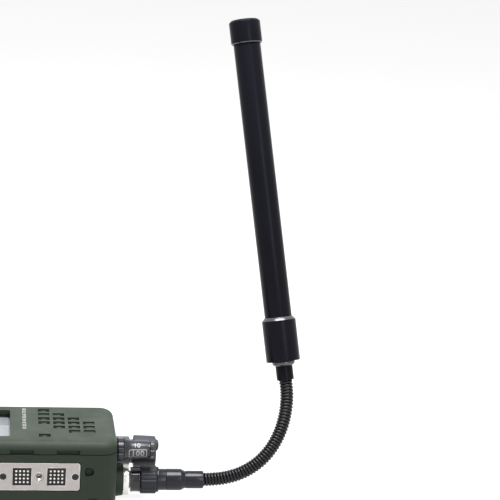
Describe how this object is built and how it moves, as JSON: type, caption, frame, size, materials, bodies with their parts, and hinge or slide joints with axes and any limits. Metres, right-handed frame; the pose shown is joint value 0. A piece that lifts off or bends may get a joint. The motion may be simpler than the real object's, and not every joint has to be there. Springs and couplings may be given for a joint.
{
  "type": "handheld field radio with gooseneck antenna",
  "caption": "Rugged olive-green handheld radio lying on its back, with a black gooseneck carrying a tube antenna from the jack on its top end.",
  "frame": {"origin": "centre of the flat rear face that the radio lies on, halfway along its length with the battery on", "axes": "+X along the radio towards its top end and antenna jack, +Y to its left side with the push-to-talk button, +Z out of its front face"},
  "size_m": [0.3671, 0.1293, 0.3297],
  "materials": {
    "housing_green": "powder coat, fine texture, olive green",
    "battery_green": "moulded, fine texture, olive green",
    "seal_rubber": "matte",
    "screw_black": "black oxide",
    "plate_metal": "bead blasted, clear passivated",
    "contact_plastic": "moulded black",
    "gold_pads": "gold plated",
    "insert_steel": "turned, bright",
    "nickel": "polished nickel plate",
    "black_metal": "satin black anodised",
    "neck_steel": "satin black coated coil",
    "black_tube": "satin black glass-fibre tube",
    "black_plastic": "satin moulded black",
    "cap_rubber": "dark grey moulded rubber",
    "key_rubber": "satin moulded black",
    "window_glass": "clear flat display window",
    "display": "grey reflective display",
    "board_green": "circuit board",
    "shield_tin": "tinned sheet",
    "speaker_black": "fibre cone and steel basket",
    "brass_rod": "drawn",
    "cell_wrap": "shrink-wrapped cells"
  },
  "bodies": {
    "radio": {"front_shell": "housing_green", "rear_shell": "housing_green", "shell_seal": "seal_rubber", "case_screws": "screw_black", "lcd_window": "window_glass", "lcd_module": "display", "front_board": "board_green", "keypad_mat": "key_rubber", "speaker": "speaker_black", "microphone": "speaker_black", "main_board": "board_green", "rf_shield": "shield_tin", "side_plate": "plate_metal", "contact_block_rear": "contact_plastic", "contact_block_front": "contact_plastic", "contact_pads": "gold_pads", "side_plate_screws": "screw_black", "accessory_insert": "insert_steel", "antenna_socket": "nickel", "selector_switch": "speaker_black", "audio_connector": "black_plastic", "battery_case": "battery_green", "battery_top": "battery_green", "battery_terminals": "gold_pads", "battery_cells": "cell_wrap"},
    "neck_mount": {"antenna_plug": "black_metal", "neck_base": "black_metal"},
    "collar": {"coupling_collar": "black_metal"},
    "antenna": {"neck_ferrule": "neck_steel", "antenna_base": "black_metal", "antenna_tube": "black_tube", "antenna_cap": "black_metal", "antenna_rod": "brass_rod"},
    "function_knob": {"selector_knob": "black_plastic"},
    "mode_ring": {"selector_ring": "black_plastic"},
    "dust_cap": {"audio_dust_cap": "cap_rubber"},
    "ptt": {"ptt_button": "key_rubber"},
    "volume_down": {"volume_down_button": "key_rubber"},
    "volume_up": {"volume_up_button": "key_rubber"},
    "latch_left": {"battery_latch_left": "black_plastic"},
    "latch_right": {"battery_latch_right": "black_plastic"},
    "key_01": {"key_01": "key_rubber"},
    "key_02": {"key_02": "key_rubber"},
    "key_03": {"key_03": "key_rubber"},
    "key_04": {"key_04": "key_rubber"},
    "key_05": {"key_05": "key_rubber"},
    "key_06": {"key_06": "key_rubber"},
    "key_07": {"key_07": "key_rubber"},
    "key_08": {"key_08": "key_rubber"},
    "key_09": {"key_09": "key_rubber"},
    "key_10": {"key_10": "key_rubber"},
    "key_11": {"key_11": "key_rubber"},
    "key_12": {"key_12": "key_rubber"},
    "link_1": {"neck_link_1": "neck_steel"},
    "link_2": {"neck_link_2": "neck_steel"},
    "link_3": {"neck_link_3": "neck_steel"},
    "link_4": {"neck_link_4": "neck_steel"},
    "link_5": {"neck_link_5": "neck_steel"},
    "link_6": {"neck_link_6": "neck_steel"},
    "link_7": {"neck_link_7": "neck_steel"}
  },
  "joints": [
    {"name": "neck_swivel", "type": "hinge", "parent": "radio", "child": "neck_mount", "pos_m": [0.1255, -0.007, 0.0239], "axis": [1, 0, 0], "range_deg": [-90, 90]},
    {"name": "collar_turn", "type": "hinge", "parent": "neck_mount", "child": "collar", "pos_m": [0.1381, -0.007, 0.0239], "axis": [1, 0, 0], "continuous": true},
    {"name": "neck_bend_1", "type": "hinge", "parent": "neck_mount", "child": "link_1", "pos_m": [0.1825, -0.007, 0.0239], "axis": [0, -0.9598, 0.2807], "range_deg": [-4.1, 2.05]},
    {"name": "neck_bend_2", "type": "hinge", "parent": "link_1", "child": "link_2", "pos_m": [0.19547, -0.00674, 0.02479], "axis": [0, -0.9598, 0.2807], "range_deg": [-12.3, 6.15]},
    {"name": "neck_bend_3", "type": "hinge", "parent": "link_2", "child": "link_3", "pos_m": [0.20794, -0.00571, 0.02831], "axis": [0, -0.9598, 0.2807], "range_deg": [-15.4, 7.7]},
    {"name": "neck_bend_4", "type": "hinge", "parent": "link_3", "child": "link_4", "pos_m": [0.21899, -0.00379, 0.03489], "axis": [0, -0.9598, 0.2807], "range_deg": [-15.7, 7.85]},
    {"name": "neck_bend_5", "type": "hinge", "parent": "link_4", "child": "link_5", "pos_m": [0.22777, -0.0011, 0.04409], "axis": [0, -0.9598, 0.2807], "range_deg": [-14.8, 7.4]},
    {"name": "neck_bend_6", "type": "hinge", "parent": "link_5", "child": "link_6", "pos_m": [0.23381, 0.00213, 0.05514], "axis": [0, -0.9598, 0.2807], "range_deg": [-12.5, 6.25]},
    {"name": "neck_bend_7", "type": "hinge", "parent": "link_6", "child": "link_7", "pos_m": [0.23722, 0.00566, 0.06718], "axis": [0, -0.9598, 0.2807], "range_deg": [-10.6, 5.3]},
    {"name": "neck_bend_8", "type": "hinge", "parent": "link_7", "child": "antenna", "pos_m": [0.23826, 0.00929, 0.07962], "axis": [0, -0.9598, 0.2807], "range_deg": [-12.3, 6.15]},
    {"name": "function_turn", "type": "hinge", "parent": "radio", "child": "function_knob", "pos_m": [0.1259, -0.012, 0.0473], "axis": [1, 0, 0], "range_deg": [-252, 36]},
    {"name": "mode_turn", "type": "hinge", "parent": "radio", "child": "mode_ring", "pos_m": [0.1216, -0.012, 0.0473], "axis": [1, 0, 0], "range_deg": [0, 60]},
    {"name": "dust_cap_pull", "type": "slide", "parent": "radio", "child": "dust_cap", "axis": [1, 0, 0], "range_m": [0, 0.02]},
    {"name": "key_01_press", "type": "slide", "parent": "radio", "child": "key_01", "axis": [0, 0, -1], "range_m": [0, 0.0008], "stiffness_N_per_m": 1200, "springref_m": -0.00025},
    {"name": "key_02_press", "type": "slide", "parent": "radio", "child": "key_02", "axis": [0, 0, -1], "range_m": [0, 0.0008], "stiffness_N_per_m": 1200, "springref_m": -0.00025},
    {"name": "key_03_press", "type": "slide", "parent": "radio", "child": "key_03", "axis": [0, 0, -1], "range_m": [0, 0.0008], "stiffness_N_per_m": 1200, "springref_m": -0.00025},
    {"name": "key_04_press", "type": "slide", "parent": "radio", "child": "key_04", "axis": [0, 0, -1], "range_m": [0, 0.0008], "stiffness_N_per_m": 1200, "springref_m": -0.00025},
    {"name": "key_05_press", "type": "slide", "parent": "radio", "child": "key_05", "axis": [0, 0, -1], "range_m": [0, 0.0008], "stiffness_N_per_m": 1200, "springref_m": -0.00025},
    {"name": "key_06_press", "type": "slide", "parent": "radio", "child": "key_06", "axis": [0, 0, -1], "range_m": [0, 0.0008], "stiffness_N_per_m": 1200, "springref_m": -0.00025},
    {"name": "key_07_press", "type": "slide", "parent": "radio", "child": "key_07", "axis": [0, 0, -1], "range_m": [0, 0.0008], "stiffness_N_per_m": 1200, "springref_m": -0.00025},
    {"name": "key_08_press", "type": "slide", "parent": "radio", "child": "key_08", "axis": [0, 0, -1], "range_m": [0, 0.0008], "stiffness_N_per_m": 1200, "springref_m": -0.00025},
    {"name": "key_09_press", "type": "slide", "parent": "radio", "child": "key_09", "axis": [0, 0, -1], "range_m": [0, 0.0008], "stiffness_N_per_m": 1200, "springref_m": -0.00025},
    {"name": "key_10_press", "type": "slide", "parent": "radio", "child": "key_10", "axis": [0, 0, -1], "range_m": [0, 0.0008], "stiffness_N_per_m": 1200, "springref_m": -0.00025},
    {"name": "key_11_press", "type": "slide", "parent": "radio", "child": "key_11", "axis": [0, 0, -1], "range_m": [0, 0.0008], "stiffness_N_per_m": 1200, "springref_m": -0.00025},
    {"name": "key_12_press", "type": "slide", "parent": "radio", "child": "key_12", "axis": [0, 0, -1], "range_m": [0, 0.0008], "stiffness_N_per_m": 1200, "springref_m": -0.00025},
    {"name": "ptt_press", "type": "slide", "parent": "radio", "child": "ptt", "axis": [0, -1, 0], "range_m": [0, 0.0012], "stiffness_N_per_m": 2000, "springref_m": -0.00015},
    {"name": "volume_down_press", "type": "slide", "parent": "radio", "child": "volume_down", "axis": [0, -1, 0], "range_m": [0, 0.0012], "stiffness_N_per_m": 1500, "springref_m": -0.0002},
    {"name": "volume_up_press", "type": "slide", "parent": "radio", "child": "volume_up", "axis": [0, -1, 0], "range_m": [0, 0.0012], "stiffness_N_per_m": 1500, "springref_m": -0.0002},
    {"name": "latch_left_press", "type": "slide", "parent": "radio", "child": "latch_left", "axis": [0, -1, 0], "range_m": [0, 0.0015], "stiffness_N_per_m": 2500, "springref_m": -0.00012},
    {"name": "latch_right_press", "type": "slide", "parent": "radio", "child": "latch_right", "axis": [0, 1, 0], "range_m": [0, 0.0015], "stiffness_N_per_m": 2500, "springref_m": -0.00012}
  ]
}
